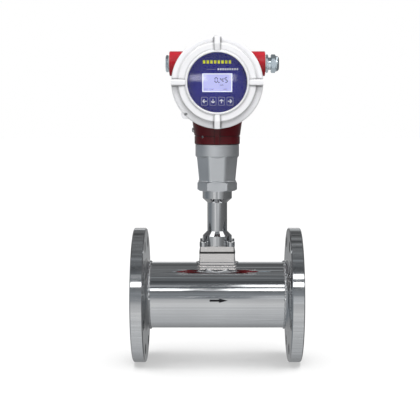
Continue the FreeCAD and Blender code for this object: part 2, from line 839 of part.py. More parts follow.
def cover_profile(opening):
    """Section of a cover: spigot, flange, band and plateau. opening is its window's radius or 0."""
    outer = cover_outer / 2
    spigot = chamber_bore / 2 - cover_gap
    bore = cover_bore / 2
    plateau = plateau_outer / 2
    groove_in = cover_seal_radius - cover_seal / 2
    groove_out = cover_seal_radius + cover_seal / 2
    groove_depth = cover_seal - cover_lift - seat_gap
    soft = (plateau_height - cover_band_height) / 3
    steps = [(bore, -cover_spigot_length), (spigot, -cover_spigot_length), (spigot, 0)]
    steps += [(groove_in, 0), (groove_in, groove_depth), (groove_out, groove_depth), (groove_out, 0)]
    bend = cover_band_round * (1 - math.sqrt(0.5))
    steps += [(outer - cover_edge, 0), (outer, cover_edge), (outer, cover_band_height - cover_band_round)]
    steps += [((outer - bend, cover_band_height - bend),
               (outer - cover_band_round, cover_band_height))]
    steps += [(plateau + soft, cover_band_height)]
    steps += [((plateau + soft * 0.3, cover_band_height + soft * 0.3),
               (plateau, cover_band_height + soft))]
    steps += [(plateau, plateau_height - soft / 2)]
    steps += [((plateau - soft * 0.15, plateau_height - soft * 0.15),
               (plateau - soft / 2, plateau_height))]
    if opening:
        lip = opening + bezel_width
        steps += [(lip + cover_height - plateau_height, plateau_height), (lip, cover_height)]
        steps += [(opening + bezel_width / 3, cover_height), (opening, cover_height - bezel_width)]
        steps += [(opening, glass_seat), (bore, glass_seat)]
    else:
        steps += [(0, plateau_height), (0, plateau_height - cover_floor)]
        steps += [(bore, plateau_height - cover_floor)]
    return steps


def runs_along_rib(edge):
    """Whether an edge follows the top of a rib from its end to the window."""
    box = edge.BoundBox
    return box.YLength < 1e-6 and box.XLength > 1 and box.ZMin > rib_inner_height - 0.1


def cover(opening, front):
    """Threaded cover with four grip ribs and a lug for its lock screw."""
    outer = cover_outer / 2
    inner = opening + bezel_width / 3 if opening else 0
    body = turned(cover_profile(opening))
    rib = [(inner, plateau_height - 1), (plateau_outer / 2 - 1, plateau_height - 1)]
    rib += [(plateau_outer / 2 - 1, cover_band_height - 1)]
    rib += [(outer, cover_band_height - 1), (outer, rib_end_height), (rib_crest, rib_height)]
    rib += [(inner, rib_inner_height)]
    section = Part.Face(outline(rib))
    bar = section.extrude(Vector(0, rib_width, 0))
    crests = [edge for edge in bar.Edges if runs_along_rib(edge)]
    bar = bar.makeFillet(rib_round, crests)
    bar.translate(Vector(0, -rib_width / 2, 0))
    bar = bar.common(rod(outer, 0, rib_height + 1))
    bars = []
    for number in range(4):
        turned_bar = bar.copy()
        turned_bar.rotate(Vector(), AXIS_Z, 90 * number)
        bars.append(turned_bar)
    centre = lug_point(0, front)
    lug = rod(lug_radius, 0, cover_band_height - 1, centre)
    lug = lug.cut(rod(outer - 2, -1, cover_band_height + 1))
    solid = fused(body, *bars, lug)
    solid = solid.cut(rod(lug_thread / 2 + thread_gap, -1, cover_band_height + 1, centre))
    if opening:
        solid = solid.cut(rod(opening, glass_seat - 1, cover_height - bezel_width))
    solid.translate(Vector(0, 0, cover_lift))
    return on_head(solid, front)


def cover_o_ring(front):
    height = (cover_seal - cover_lift - seat_gap) - cover_seal / 2 + cover_lift
    return on_head(round_ring(cover_seal_radius, cover_seal - 2 * seat_gap, height), front)


def cover_lock_screw(front):
    screw = set_screw(lug_thread, lug_screw_length, lug_thread / 2)
    screw.translate(lug_point(cover_lift + lug_screw_length + screw_gap, front))
    return on_head(screw, front)


def window_glass():
    low = cover_lift + glass_low
    return on_head(rod(cover_bore / 2 - cover_gap, low, low + glass_thickness))


def window_gasket():
    high = cover_lift + glass_seat
    return on_head(ring(window_opening / 2, cover_bore / 2 - cover_gap, high - glass_gasket, high))


def glass_ring():
    """Threaded ring that holds the glass, with four slots for its key."""
    high = cover_lift + glass_low
    outer = cover_bore / 2 - thread_gap
    solid = ring(outer - glass_ring_width, outer, high - glass_ring_height, high)
    slots = [block(2 * outer + 2, glass_ring_width, high - glass_ring_height - 1,
                   high - glass_ring_height / 2)]
    slots.append(block(glass_ring_width, 2 * outer + 2, high - glass_ring_height - 1,
                       high - glass_ring_height / 2))
    return on_head(solid.cut(slots))


def key_places():
    """Key names and centres in the display chamber's frame, from left to right."""
    names = ["key_left", "key_down", "key_up", "key_right"]
    return {name: (key_pitch * (number - 1.5), -key_drop) for number, name in enumerate(names)}


def display_fascia():
    """Round front plate with its window for the display and four key holes."""
    solid = rod(fascia_outer / 2, fascia_low, fascia_height)
    cuts = [block(lcd_width, lcd_height, fascia_low - 1, fascia_height + 1)]
    for place in key_places().values():
        cuts.append(rounded_block(key_width + 2 * key_gap, key_height + 2 * key_gap,
                                  fascia_low - 1, fascia_height + 1, key_corner, place))
    return on_head(solid.cut(cuts))


def display_key(place):
    """Key cap with a captive flange under the fascia."""
    cap = rounded_block(key_width, key_height, fascia_low - key_gap, fascia_height + key_rise,
                        key_corner, place)
    flange_top = fascia_low - key_gap / 2
    skirt = rounded_block(key_width + 2 * key_flange, key_height + 2 * key_flange,
                          flange_top - key_flange_thickness, flange_top, key_corner, place)
    return on_head(fused(cap, skirt))


def key_switches():
    """One small switch under each key, on the display board."""
    top = display_board_top + key_switch_height
    switches = []
    for place in key_places().values():
        body = block(key_switch_width, key_switch_width, display_board_top, top, place)
        plunger_top = fascia_low - key_gap / 2 - key_flange_thickness - key_travel - board_gap / 4
        plunger = rod(key_switch_width / 4, top - 1, plunger_top, Vector(place[0], place[1], 0))
        switches.append(on_head(fused(body, plunger)))
    return switches


def display_carrier():
    """Moulded ring that holds the fascia above the display board, with a bar under its middle."""
    low = display_board_top
    solid = ring(carrier_outer / 2 - carrier_wall, carrier_outer / 2, low, fascia_low)
    bar_place = (0, -(lcd_height / 2 + lcd_border + key_drop - key_height / 2 - key_flange) / 2)
    bar = block(carrier_outer - carrier_wall, board_gap, low, fascia_low, bar_place)
    bar = bar.common(rod(carrier_outer / 2 - 1, low, fascia_low))
    bar = bar.cut([rod(board_screw_head / 2 + screw_gap, low - 1, low + board_screw_height + 1, point)
                   for point in board_post_points(0)])
    return on_head(fused(solid, bar))


def lcd_module():
    """Glass display on its frame, standing on the display board."""
    frame = block(lcd_width + 2 * lcd_border, lcd_height + 2 * lcd_border, display_board_top,
                  fascia_low - seat_gap)
    return on_head(frame)


def board(outer, low, extra=()):
    """Round circuit board with its three screw holes."""
    solid = rod(outer / 2, low, low + board_thickness)
    holes = [rod(board_screw_thread / 2 + thread_gap, low - 1, low + board_thickness + 1, point)
             for point in board_post_points(0)]
    return fused(solid.cut(holes), *extra)


def display_board():
    return on_head(board(carrier_outer, display_board_low))


def amplifier_board():
    """Board with a screening can over the charge amplifier."""
    top = amplifier_board_low + board_thickness
    can = rounded_block(can_width, can_depth, top - seat_gap, top + can_height, key_corner)
    return on_head(board(board_outer, amplifier_board_low, [can]))


def main_board():
    """Supply board with a transformer and two capacitors."""
    top = main_board_low + board_thickness
    core = block(transformer_width, transformer_depth, top - seat_gap, top + transformer_height,
                 transformer_place)
    cans = [rod(capacitor_outer / 2, top - seat_gap, top + capacitor_height,
                Vector(-capacitor_left, side * capacitor_spacing / 2, 0)) for side in (-1, 1)]
    return on_head(board(board_outer, main_board_low, [core, *cans]))


def standoffs(low, high):
    """Hexagonal spacers at the three posts, each with a stud through the board under it."""
    spacer = prism(6, standoff_across_flats, low, high)
    stud = rod(board_screw_thread / 2, low - board_thickness - board_boss_height / 2, low + 1)
    tapped = rod(board_screw_thread / 2 + thread_gap, high - board_boss_height, high + 1)
    body = fused(spacer, stud).cut(tapped)
    return [on_head(placed(body, point, AXIS_Z)) for point in board_post_points(0)]


def lower_standoffs():
    return standoffs(main_board_low + board_thickness, amplifier_board_low)


def upper_standoffs():
    return standoffs(upper_post_low, display_board_low)


def board_screws():
    screw = pan_screw(board_screw_thread, board_screw_head, board_screw_height,
                      board_thickness + board_boss_height / 2)
    return [on_head(placed(screw, point + Vector(0, 0, display_board_top), AXIS_Z))
            for point in board_post_points(0)]


def wall_feedthrough():
    """Sealed plug that carries the wires through the wall between the chambers."""
    low = divider_face - divider_thickness
    plug = rod(feed_outer / 2, low - feed_rise, divider_face + feed_rise, Vector(0, -feed_drop, 0))
    rim = rod(feed_flange / 2, low - feed_rise, low, Vector(0, -feed_drop, 0))
    return on_head(fused(plug, rim))


def terminal_board():
    """Board in the terminal chamber, cut straight below the cable entries."""
    low = terminal_board_low
    outer = terminal_board_outer / 2
    solid = rod(outer, low, low + board_thickness)
    solid = solid.common(block(2 * outer, outer + terminal_board_top, low, low + board_thickness,
                               (0, (terminal_board_top - outer) / 2)))
    holes = [rod(board_screw_thread / 2 + thread_gap, low - 1, low + board_thickness + 1, point)
             for point in board_post_points(0)[1:]]
    return on_head(solid.cut(holes), False)


def terminal_board_screws():
    screw = pan_screw(board_screw_thread, board_screw_head, board_screw_height,
                      board_thickness + terminal_boss_height / 2)
    height = terminal_board_low + board_thickness
    return [on_head(placed(screw, point + Vector(0, 0, height), AXIS_Z), False)
            for point in board_post_points(0)[1:]]


def terminal_places():
    return [terminal_pitch * (number - (terminal_count - 1) / 2) for number in range(terminal_count)]


def terminal_block():
    """Strip of clamps: a screw well above and a wire mouth on the side for each."""
    low = terminal_board_low + board_thickness
    high = low + terminal_height
    strip = block(terminal_pitch * terminal_count + 2 * terminal_end, terminal_depth, low, high)
    cuts = []
    for place in terminal_places():
        cuts.append(rod(terminal_screw / 2 + thread_gap, high - terminal_height / 2, high + 1,
                        Vector(place, 0, 0)))
        mouth_low = low + terminal_mouth_rise
        cuts.append(block(terminal_screw, terminal_depth, mouth_low, mouth_low + terminal_screw,
                          (place, terminal_depth / 2)))
    return on_head(strip.cut(cuts), False)


def terminal_screws():
    top = terminal_board_low + board_thickness + terminal_height - terminal_screw_sink
    length = terminal_height / 2 - terminal_screw_sink
    slot = block(2 * terminal_screw, terminal_screw / 5, -terminal_screw_sink, 0)
    screw = rod(terminal_screw / 2, -length, 0).cut(slot)
    return [on_head(placed(screw, Vector(place, 0, top), AXIS_Z), False) for place in terminal_places()]


def entry_mouth(side):
    """Centre of a cable entry's face; side is 1 on the right and -1 on the left."""
    return Vector(stem_x + side * ear_x, ear_back, head_z + ear_rise)


def entry_washer(side):
    return ring(entry_thread / 2 + thread_gap, entry_washer_outer / 2, 0, entry_washer_thickness,
                entry_mouth(side), AXIS_X * side)


def blanking_plug():
    """Hexagonal plug in the entry that is not used."""
    low = entry_washer_thickness
    radius = entry_thread / 2 - thread_gap
    head = hex_nut(plug_across_flats, low, low + plug_height, entry_hex_chamfer, entry_hex_turn)
    solid = fused(head, rod(radius, -entry_thread_length, low))
    return placed(solid, entry_mouth(-1), -AXIS_X)


def gland_heights():
    """Heights along the gland from the ear's face: hexagon, neck and the end of the nut's thread."""
    hexagon = entry_washer_thickness + gland_hex_height
    neck = hexagon + gland_neck_height
    return hexagon, neck, neck + gland_nut_thread_length


def gland_body():
    hexagon, neck, thread_end = gland_heights()
    radius = entry_thread / 2 - thread_gap
    outside = fused(hex_nut(gland_across_flats, entry_washer_thickness, hexagon, entry_hex_chamfer,
                            entry_hex_turn),
                    rod(radius, -entry_thread_length, entry_washer_thickness),
                    rod(entry_thread / 2, hexagon, neck),
                    rod(gland_nut_thread / 2, neck, thread_end))
    bore = [rod(gland_inner_bore / 2, -entry_thread_length - 1, thread_end),
            rod(gland_bore / 2, thread_end - gland_seal_length, thread_end + 1)]
    return placed(outside.cut(bore), entry_mouth(1), AXIS_X)


def gland_seal():
    """Rubber sleeve that grips the cable."""
    end = gland_heights()[2]
    return ring(cable_bore / 2, gland_bore / 2 - seat_gap, end - gland_seal_length, end,
                entry_mouth(1), AXIS_X)


def gland_ring():
    """Slip ring between the sleeve and the nut."""
    end = gland_heights()[2] + seat_gap
    return ring(cable_bore / 2 + gland_ring_relief, gland_nut_thread / 2, end, end + gland_ring_length,
                entry_mouth(1), AXIS_X)


def gland_nut():
    """Domed nut that presses the slip ring on the sleeve."""
    neck, end = gland_heights()[1:]
    low = neck + seat_gap
    hexagon = low + gland_nut_hex
    top = hexagon + gland_dome
    mouth = cable_bore / 2 + gland_mouth_relief
    shoulder = hexagon + gland_dome_shoulder
    bend = math.sqrt(0.5)
    middle = (gland_dome_top + bend * (gland_dome_wide - gland_dome_top),
              shoulder + bend * (top - shoulder))
    dome = turned([(mouth, low + 1), (gland_dome_wide, low + 1), (gland_dome_wide, shoulder),
                   (middle, (gland_dome_top, top)), (mouth, top)])
    solid = fused(hex_nut(gland_across_flats, low, hexagon, entry_hex_chamfer, entry_hex_turn), dome)
    ring_top = end + gland_ring_length + 2 * seat_gap
    hollow = [rod(gland_nut_thread / 2 + cover_gap, low - 1, ring_top),
              rod(mouth, low - 1, top + 1)]
    return placed(solid.cut(hollow), entry_mouth(1), AXIS_X)


parts = {
    "meter_tube": meter_tube(),
    "inlet_flange": flange(Vector(), AXIS_X),
    "outlet_flange": flange(Vector(outlet_x, 0, 0), -AXIS_X),
    "bluff_body": bluff_body(),
    "sensor_block": sensor_block(),
    "sensor_probe": sensor_probe(),
    "sensor_seal": sensor_seal(),
    "sensor_lead": sensor_lead(),
    "neck_gasket": neck_gasket(),
    "neck_plate": neck_plate(),
    "neck_tube": neck_tube(),
    "neck_screws": neck_screws(),
    "lock_nut": lock_nut(),
    "head_adapter": head_adapter(),
    "lead_feedthrough": lead_feedthrough(),
    "swivel_seal": swivel_seal(),
    "housing": housing(),
    "collar_lock_screw": collar_lock_screw(),
    "outer_earth_screw": earth_screw(earth_point(), -AXIS_X),
    "outer_earth_washer": earth_washer_ring(earth_point(), -AXIS_X),
    "inner_earth_screw": earth_screw(inner_earth_point(), AXIS_Y),
    "inner_earth_washer": earth_washer_ring(inner_earth_point(), AXIS_Y),
    "front_cover": cover(window_opening / 2, True),
    "front_cover_seal": cover_o_ring(True),
    "front_lock_screw": cover_lock_screw(True),
    "window_glass": window_glass(),
    "window_gasket": window_gasket(),
    "glass_ring": glass_ring(),
    "rear_cover": cover(0, False),
    "rear_cover_seal": cover_o_ring(False),
    "rear_lock_screw": cover_lock_screw(False),
    "display_fascia": display_fascia(),
    "display_carrier": display_carrier(),
    "lcd_module": lcd_module(),
    "key_switches": key_switches(),
    "display_board": display_board(),
    "amplifier_board": amplifier_board(),
    "main_board": main_board(),
    "lower_standoffs": lower_standoffs(),
    "upper_standoffs": upper_standoffs(),
    "board_screws": board_screws(),
    "wall_feedthrough": wall_feedthrough(),
    "terminal_board": terminal_board(),
    "terminal_board_screws": terminal_board_screws(),
    "terminal_block": terminal_block(),
    "terminal_screws": terminal_screws(),
    "blanking_plug": blanking_plug(),
    "plug_washer": entry_washer(-1),
    "gland_washer": entry_washer(1),
    "gland_body": gland_body(),
    "gland_seal": gland_seal(),
    "gland_ring": gland_ring(),
    "gland_nut": gland_nut(),
}
parts.update({name: display_key(place) for name, place in key_places().items()})

os.makedirs("parts", exist_ok=True)
for name, shape in parts.items():
    solid = Part.makeCompound(shape) if isinstance(shape, list) else shape
    solid.exportStep(f"parts/{name}.step")
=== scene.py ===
import math

import bmesh
import bpy
from mathutils import Matrix, Vector


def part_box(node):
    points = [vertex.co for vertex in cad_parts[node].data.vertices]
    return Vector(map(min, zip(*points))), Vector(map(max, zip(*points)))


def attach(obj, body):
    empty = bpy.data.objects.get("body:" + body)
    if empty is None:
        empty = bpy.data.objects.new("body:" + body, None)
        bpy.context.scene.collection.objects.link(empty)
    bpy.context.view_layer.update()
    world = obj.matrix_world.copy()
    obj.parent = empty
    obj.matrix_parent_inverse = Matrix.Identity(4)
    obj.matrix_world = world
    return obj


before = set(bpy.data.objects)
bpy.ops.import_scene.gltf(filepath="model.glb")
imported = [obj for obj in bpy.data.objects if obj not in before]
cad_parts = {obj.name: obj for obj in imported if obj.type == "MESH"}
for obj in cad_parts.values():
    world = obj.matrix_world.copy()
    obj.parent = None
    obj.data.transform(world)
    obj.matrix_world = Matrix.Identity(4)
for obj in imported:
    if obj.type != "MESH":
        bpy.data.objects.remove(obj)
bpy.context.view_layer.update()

MM = 0.001

# The photograph's camera: its distance and height from the pipe's axis, its dip and its lens
PHOTO_SIZE = 420
CAMERA_DISTANCE = 1.7415
CAMERA_HEIGHT = 0.3004
CAMERA_DIP = math.radians(5.16)
FOCAL_PIXELS = 1070.7
CENTRE_PIXEL = (217.25, 207.9)
SENSOR = 36.0
FARTHEST = 50.0

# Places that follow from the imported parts
tube_low, tube_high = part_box("meter_tube")
fascia_low, fascia_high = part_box("display_fascia")
lcd_low, lcd_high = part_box("lcd_module")
flange_low, flange_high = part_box("inlet_flange")
STEM_X = (tube_low.x + tube_high.x) / 2
PIPE_RADIUS = (tube_high.z - tube_low.z) / 2
HEAD_Z = (fascia_low.z + fascia_high.z) / 2
FASCIA_Y = fascia_low.y
FLOOR_Z = flange_low.z

# Tool marks on the metal, and the painted reflection lines at the block's foot
LATHE_PITCH = 0.8 * MM
PAINTED_LINE_PITCH = 4.2 * MM
PAINTED_LINE_START = 47.95 * MM
PAINTED_LINE_FADE = (62.5 * MM, 58.0 * MM)

# Enamel: how far the painted shade in its corners reaches, and where painted shade deepens the housing
# towards the collar
CORNER_SHADE_REACH = 3.8 * MM
CORNER_SHADE_POWER = 2.8
CORNER_SHADE_TONE = 0.08
COLLAR_SHADE_FADE = (HEAD_Z - 75 * MM, HEAD_Z - 15 * MM)

# The blue panel's shading, from its foot to its top
PANEL_SHADE_FADE = (HEAD_Z - 50 * MM, HEAD_Z + 50 * MM)

# Prints on the keys, the display, the panel and the pipe
PRINT_RISE = 0.08 * MM
CUT_TOLERANCE = 1e-7
KEY_OUTLINE = (10.4 * MM, 13.4 * MM)
KEY_LINE = 0.8 * MM
KEY_CORNERS = (1.8 * MM, 1.3 * MM)
KEY_ARROW = 6.6 * MM
BORDER_INSET = 4.0 * MM
BORDER_LINE = 1.3 * MM
BORDER_CORNERS = (0.4 * MM, 0.3 * MM)
BLOCK_CORNER = 0.4 * MM
RULE_SIZE = (14 * MM, 0.5 * MM)
RULE_CORNER = 0.2 * MM
RULE_PLACE = (-9.5 * MM, 20.6 * MM)
FLOW_ARROW_ENDS = (-12.2 * MM, 16.8 * MM)
FLOW_ARROW_NECK = 2.9 * MM
FLOW_ARROW_SHAFT = 1.6 * MM
FLOW_ARROW_HEAD = 3.4 * MM
FLOW_ARROW_HEIGHT = -0.6 * MM

# Each number on the display: its text, then in millimetres its height, left end, base line and stroke
READINGS = [
    ("0.45", 7.6, -3.6, 0.4, 1.45),
    ("1280", 2.2, 3.0, -4.9, 0.32),
    ("25.0", 2.0, -20.0, -11.2, 0.30),
    ("0.162", 2.0, -12.0, -11.2, 0.30),
    ("100.0", 2.0, 9.0, -11.2, 0.30),
]

# Weld beads: the block's round foot, and the rippled ones inside the flanges
FOOT_RADIUS = 33.2 * MM
FOOT_BEAD = 1.5 * MM
FOOT_STEPS = 96
FLANGE_BEAD = 1.5 * MM
FLANGE_BEAD_REACH = 0.3 * MM
RIPPLE = 0.45 * MM
RIPPLES = 44
RIPPLE_STEPS = 8

# Where most of a noise texture's values lie
NOISE_LOW = 0.3
NOISE_HIGH = 0.7


class NodeTree:
    """Short ways to add nodes to the tree of a material or of the world."""

    def __init__(self, tree):
        self.nodes = tree.nodes
        self.links = tree.links

    def add(self, kind, **settings):
        """A new node with the given settings."""
        node = self.nodes.new(kind)
        for name, value in settings.items():
            setattr(node, name, value)
        return node

    def join(self, source, socket):
        """Links a socket to another node's output, or gives it a plain value."""
        if isinstance(source, (int, float, tuple)):
            socket.default_value = source
        else:
            self.links.new(source, socket)

    def math(self, operation, *sources):
        """The result of a math node."""
        node = self.add("ShaderNodeMath", operation=operation)
        for source, socket in zip(sources, node.inputs):
            self.join(source, socket)
        return node.outputs["Value"]

    def product(self, first, *others):
        for other in others:
            first = self.math("MULTIPLY", first, other)
        return first

    def total(self, first, *others):
        for other in others:
            first = self.math("ADD", first, other)
        return first

    def remap(self, source, low, high, start=0.0, end=1.0, smooth=False):
        """Goes from start to end as the source goes from low to high, and stays there beyond."""
        node = self.add("ShaderNodeMapRange", interpolation_type="SMOOTHSTEP" if smooth else "LINEAR")
        limits = {"From Min": low, "From Max": high, "To Min": start, "To Max": end}
        for name, value in limits.items():
            node.inputs[name].default_value = value
        self.join(source, node.inputs["Value"])
        return node.outputs["Result"]

    def ramp(self, source, *stops):
        """Colour along the source, through (position, colour) stops."""
        node = self.add("ShaderNodeValToRGB")
        elements = node.color_ramp.elements
        while len(elements) < len(stops):
            elements.new(0.5)
        for element, (position, colour) in zip(elements, stops):
            element.position = position
            element.color = colour
        self.join(source, node.inputs["Fac"])
        return node.outputs["Color"]

    def mix(self, factor, first, second, blend="MIX"):
        """The first colour, taken to the second, or blended with it, by the factor."""
        node = self.add("ShaderNodeMix", data_type="RGBA", blend_type=blend)
        sockets = {socket.name: socket for socket in node.inputs if socket.enabled}
        self.join(factor, sockets["Factor"])
        self.join(first, sockets["A"])
        self.join(second, sockets["B"])
        return next(socket for socket in node.outputs if socket.enabled)


class Shader(NodeTree):
    """A material under construction; the keyword arguments are its fixed inputs."""

    def __init__(self, name, **inputs):
        self.material = bpy.data.materials.new(name)
        self.material.use_nodes = True
        super().__init__(self.material.node_tree)
        self.surface = self.nodes["Principled BSDF"]
        for socket, value in inputs.items():
            self.surface.inputs[socket.replace("_", " ")].default_value = value
        self.place = self.add("ShaderNodeTexCoord").outputs["Object"]

    def axes(self):
        """The object's own coordinates, one by one."""
        separate = self.add("ShaderNodeSeparateXYZ")
        self.join(self.place, separate.inputs["Vector"])
        return separate.outputs

    def noise(self, scale, detail=3.0, stretch=(1, 1, 1)):
        """Noise over the object's own coordinates."""
        mapping = self.add("ShaderNodeMapping")
        mapping.inputs["Scale"].default_value = stretch
        self.join(self.place, mapping.inputs["Vector"])
        texture = self.add("ShaderNodeTexNoise")
        texture.inputs["Scale"].default_value = scale
        texture.inputs["Detail"].default_value = detail
        self.join(mapping.outputs["Vector"], texture.inputs["Vector"])
        return texture.outputs["Fac"]

    def spread(self, noise, low, high):
        """The noise's main range, taken from low to high."""
        return self.remap(noise, NOISE_LOW, NOISE_HIGH, low, high)

    def tones(self, noise, dark, pale, low=NOISE_LOW, high=NOISE_HIGH):
        """Colour that goes from dark to pale with the noise."""
        return self.ramp(noise, (low, dark), (high, pale))

    def openness(self, reach, samples):
        """1 in the open, and less where other surfaces stand within reach."""
        node = self.add("ShaderNodeAmbientOcclusion", samples=samples)
        node.inputs["Distance"].default_value = reach
        return node.outputs["AO"]

    def bump(self, height, strength, distance):
        """Raises the surface by the height, which is in shares of the distance."""
        node = self.add("ShaderNodeBump")
        node.inputs["Strength"].default_value = strength
        node.inputs["Distance"].default_value = distance
        self.join(height, node.inputs["Height"])
        self.join(node.outputs["Normal"], self.surface.inputs["Normal"])

    def colour(self, source):
        self.join(source, self.surface.inputs["Base Color"])

    def roughness(self, source):
        self.join(source, self.surface.inputs["Roughness"])

    def uneven_roughness(self, noise, level):
        """Roughness that wanders a tenth to both sides of the level."""
        self.roughness(self.spread(noise, level * 0.9, level * 1.1))


def tone(red, green, blue):
    """A colour from its three linear parts."""
    return (red, green, blue, 1)


def grey(level):
    return (level, level, level, 1)


def scaled(colour, factor, offset=0.0):
    """The colour made darker or paler, no paler than white."""
    return tone(*(min(1.0, part * factor + offset) for part in colour[:3]))


def polished_steel():
    """Mirror-bright stainless steel with faint polishing streaks along the pipe."""
    shader = Shader("polished_steel", Metallic=1.0)
    streaks = shader.noise(160.0, detail=4.0, stretch=(0.15, 5.0, 5.0))
    cloud = shader.noise(9.0, detail=2.0)
    shader.colour(shader.tones(cloud, tone(0.60, 0.61, 0.62), tone(0.66, 0.67, 0.68)))
    shader.roughness(shader.spread(streaks, 0.05, 0.11))
    shader.bump(streaks, strength=0.02, distance=0.1 * MM)
    return shader.material


def flange_steel():
    """Turned flange: polished, with the fine rings of the lathe on its faces."""
    shader = Shader("flange_steel", Metallic=1.0)
    axes = shader.axes()
    squares = [shader.math("POWER", axes[name], 2.0) for name in ("Y", "Z")]
    radius = shader.math("SQRT", shader.total(*squares))
    rings = shader.math("SINE", shader.product(radius, 2 * math.pi / LATHE_PITCH))
    streaks = shader.noise(120.0, stretch=(0.4, 1.0, 1.0))
    cloud = shader.noise(12.0, detail=2.0)
    shader.colour(shader.tones(cloud, tone(0.60, 0.61, 0.62), tone(0.67, 0.68, 0.69)))
    shader.roughness(shader.spread(streaks, 0.07, 0.14))
    shader.bump(rings, strength=0.05, distance=0.05 * MM)
    return shader.material


def ground_steel():
    """Block and plate: ground flat, slightly warm, with painted dark reflection lines at the block's foot.
    """
    shader = Shader("ground_steel", Metallic=1.0)
    streaks = shader.noise(220.0, stretch=(0.3, 0.3, 6.0))
    face = shader.tones(streaks, tone(0.86, 0.83, 0.81), tone(0.92, 0.89, 0.87))
    height = shader.axes()["Z"]
    # Painted reflection: dark lines across the block's foot, where its weld mirrors bright and dark bands
    rise = shader.math("SUBTRACT", height, PAINTED_LINE_START)
    wave = shader.math("SINE", shader.product(rise, 2 * math.pi / PAINTED_LINE_PITCH))
    painted_lines = shader.remap(wave, -0.4, 1.0, end=0.75)
    foot = shader.remap(height, *PAINTED_LINE_FADE, smooth=True)
    shader.colour(shader.mix(shader.product(painted_lines, foot), face, tone(0.26, 0.27, 0.29)))
    shader.roughness(shader.spread(streaks, 0.20, 0.27))
    shader.bump(streaks, strength=0.03, distance=0.1 * MM)
    return shader.material


def satin_steel():
    """Grey satin casting, finely blasted."""
    shader = Shader("satin_steel", Metallic=0.9)
    cloud = shader.noise(30.0)
    shader.colour(shader.tones(cloud, tone(0.63, 0.65, 0.67), tone(0.69, 0.71, 0.73)))
    shader.roughness(shader.spread(cloud, 0.35, 0.43))
    shader.bump(shader.noise(1800.0), strength=0.10, distance=0.2 * MM)
    return shader.material


def small_steel():
    """Plain steel of the small screws."""
    shader = Shader("small_steel", Metallic=1.0)
    cloud = shader.noise(250.0)
    shader.colour(shader.tones(cloud, grey(0.50), grey(0.62)))
    shader.roughness(shader.spread(cloud, 0.18, 0.30))
    return shader.material


def nickel_plate():
    """Bright nickel plating of the gland, the plug and the spacers, tinted blue as a painted reflection of
    blue light.
    """
    shader = Shader("nickel_plate", Metallic=1.0)
    cloud = shader.noise(120.0)
    # Painted reflection: the blue in these tones stands in for blue light mirrored by the plating
    shader.colour(shader.tones(cloud, tone(0.74, 0.84, 0.90), tone(0.82, 0.92, 0.98)))
    shader.roughness(shader.spread(cloud, 0.07, 0.13))
    shader.bump(shader.noise(700.0, detail=2.0), strength=0.04, distance=0.1 * MM)
    return shader.material


def enamel(name, dark, pale, roughness, coat, shine=0.5, foot=None):
    """Powder enamel: two close tones, painted shade in its corners, a fine orange-peel surface and a gloss
    coat.

    foot is a darker tone that the enamel takes on towards the collar, as painted shade.
    """
    shader = Shader(name, Coat_Weight=coat, Coat_Roughness=0.06, Specular_IOR_Level=shine)
    cloud = shader.noise(25.0, detail=2.0)
    paint = shader.tones(cloud, dark, pale, low=0.35, high=0.65)
    # Painted shade: the enamel darkens towards the collar
    if foot:
        rise = shader.remap(shader.axes()["Z"], *COLLAR_SHADE_FADE, smooth=True)
        paint = shader.mix(rise, foot, paint)
    # Painted shade: the enamel darkens in its corners, where other surfaces stand close
    open_air = shader.math("POWER", shader.openness(CORNER_SHADE_REACH, samples=8), CORNER_SHADE_POWER)
    shader.colour(shader.mix(open_air, scaled(dark, CORNER_SHADE_TONE), paint))
    shader.uneven_roughness(cloud, roughness)
    shader.bump(shader.noise(420.0, detail=2.0), strength=0.05, distance=0.3 * MM)
    return shader.material


def rubber():
    """Black rubber of the seals, matte and slightly uneven."""
    shader = Shader("rubber_black")
    cloud = shader.noise(300.0, detail=4.0)
    shader.colour(shader.tones(cloud, grey(0.008), grey(0.02)))
    shader.roughness(shader.spread(cloud, 0.55, 0.7))
    shader.bump(cloud, strength=0.15, distance=0.2 * MM)
    return shader.material


def plastic(name, dark, pale, roughness=0.4):
    """Moulded plastic with a fine eroded texture."""
    shader = Shader(name)
    cloud = shader.noise(60.0)
    shader.colour(shader.tones(cloud, dark, pale))
    shader.uneven_roughness(cloud, roughness)
    shader.bump(shader.noise(2400.0, detail=2.0), strength=0.06, distance=0.1 * MM)
    return shader.material


def blue_panel():
    """Printed blue film with painted shade that darkens it towards its foot, and a fine matte texture."""
    shader = Shader("blue_panel", Specular_IOR_Level=0.0)
    rise = shader.remap(shader.axes()["Z"], *PANEL_SHADE_FADE)
    shader.colour(shader.ramp(rise, (0.0, tone(0.008, 0.006, 0.215)), (1.0, tone(0.011, 0.010, 0.285))))
    shader.roughness(shader.spread(shader.noise(200.0), 0.30, 0.38))
    shader.bump(shader.noise(3000.0, detail=2.0), strength=0.04, distance=0.1 * MM)
    return shader.material


def glowing(name, colour, strength, roughness=0.3):
    """A lit surface, such as the display's field, with a soft mottle."""
    shader = Shader(name, Emission_Strength=strength, Emission_Color=colour)
    cloud = shader.noise(45.0, detail=2.0)
    shader.colour(shader.tones(cloud, colour, scaled(colour, 1.08)))
    shader.uneven_roughness(cloud, roughness)
    return shader.material


def printed(name, colour):
    """Matte ink with slight uneven cover."""
    shader = Shader(name, Specular_IOR_Level=0.1)
    cloud = shader.noise(500.0)
    shader.colour(shader.tones(cloud, colour, scaled(colour, 1.15, 0.003), low=0.35, high=0.65))
    shader.roughness(shader.spread(cloud, 0.42, 0.55))
    return shader.material


